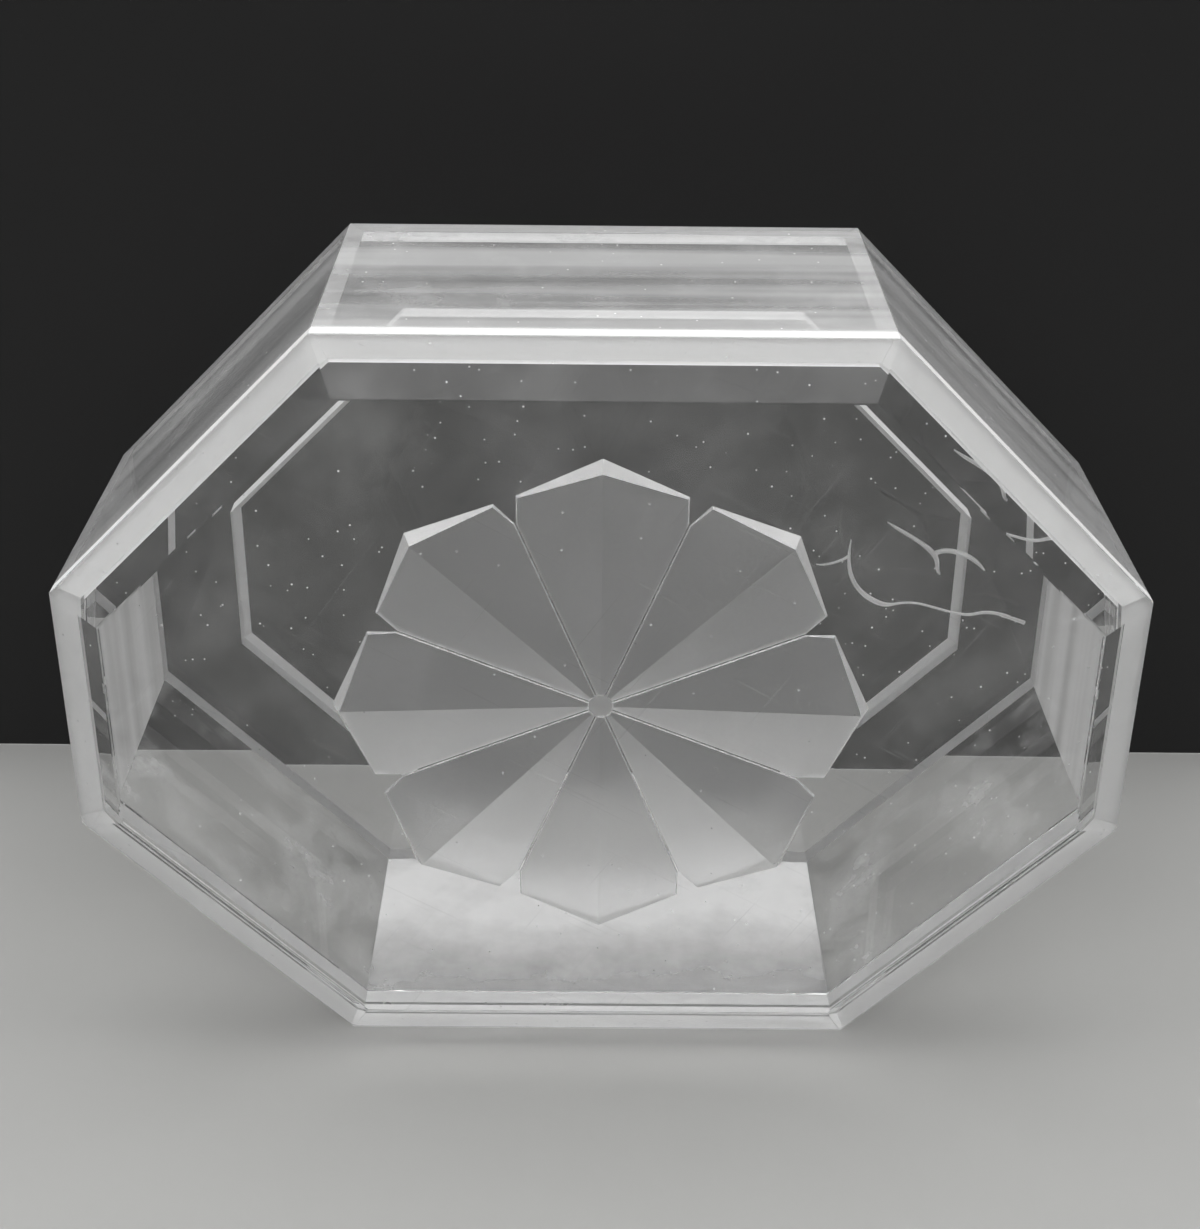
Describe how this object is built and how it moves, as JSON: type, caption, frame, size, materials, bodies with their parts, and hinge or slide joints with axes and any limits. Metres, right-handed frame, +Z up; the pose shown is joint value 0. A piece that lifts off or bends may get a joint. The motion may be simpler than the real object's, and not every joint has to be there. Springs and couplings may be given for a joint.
{
  "type": "acrylic keepsake box",
  "caption": "Clear acrylic octagonal keepsake box with a bevelled lift-off lid that has a carved flower rosette on its locating plate.",
  "frame": {"origin": "middle of the footprint, on the surface that the box stands on with the lid facing forwards", "axes": "+Z up, +X to the right across the box's width, +Y from the lid towards the foot plate"},
  "size_m": [0.1016, 0.0382, 0.0762],
  "materials": {
    "clear_acrylic": "polished, clear",
    "carved_acrylic": "polished, with a frosted carved rosette"
  },
  "bodies": {
    "box": {"wall_top": "clear_acrylic", "wall_upper_right": "clear_acrylic", "wall_right": "clear_acrylic", "wall_lower_right": "clear_acrylic", "wall_bottom": "clear_acrylic", "wall_lower_left": "clear_acrylic", "wall_left": "clear_acrylic", "wall_upper_left": "clear_acrylic", "base_plate": "clear_acrylic", "foot_plate": "clear_acrylic"},
    "lid": {"lid_plate": "clear_acrylic", "locating_plate": "carved_acrylic"}
  },
  "joints": [
    {"name": "lid_lift", "type": "slide", "parent": "box", "child": "lid", "axis": [0, -1, 0], "range_m": [0, 0.05]}
  ]
}
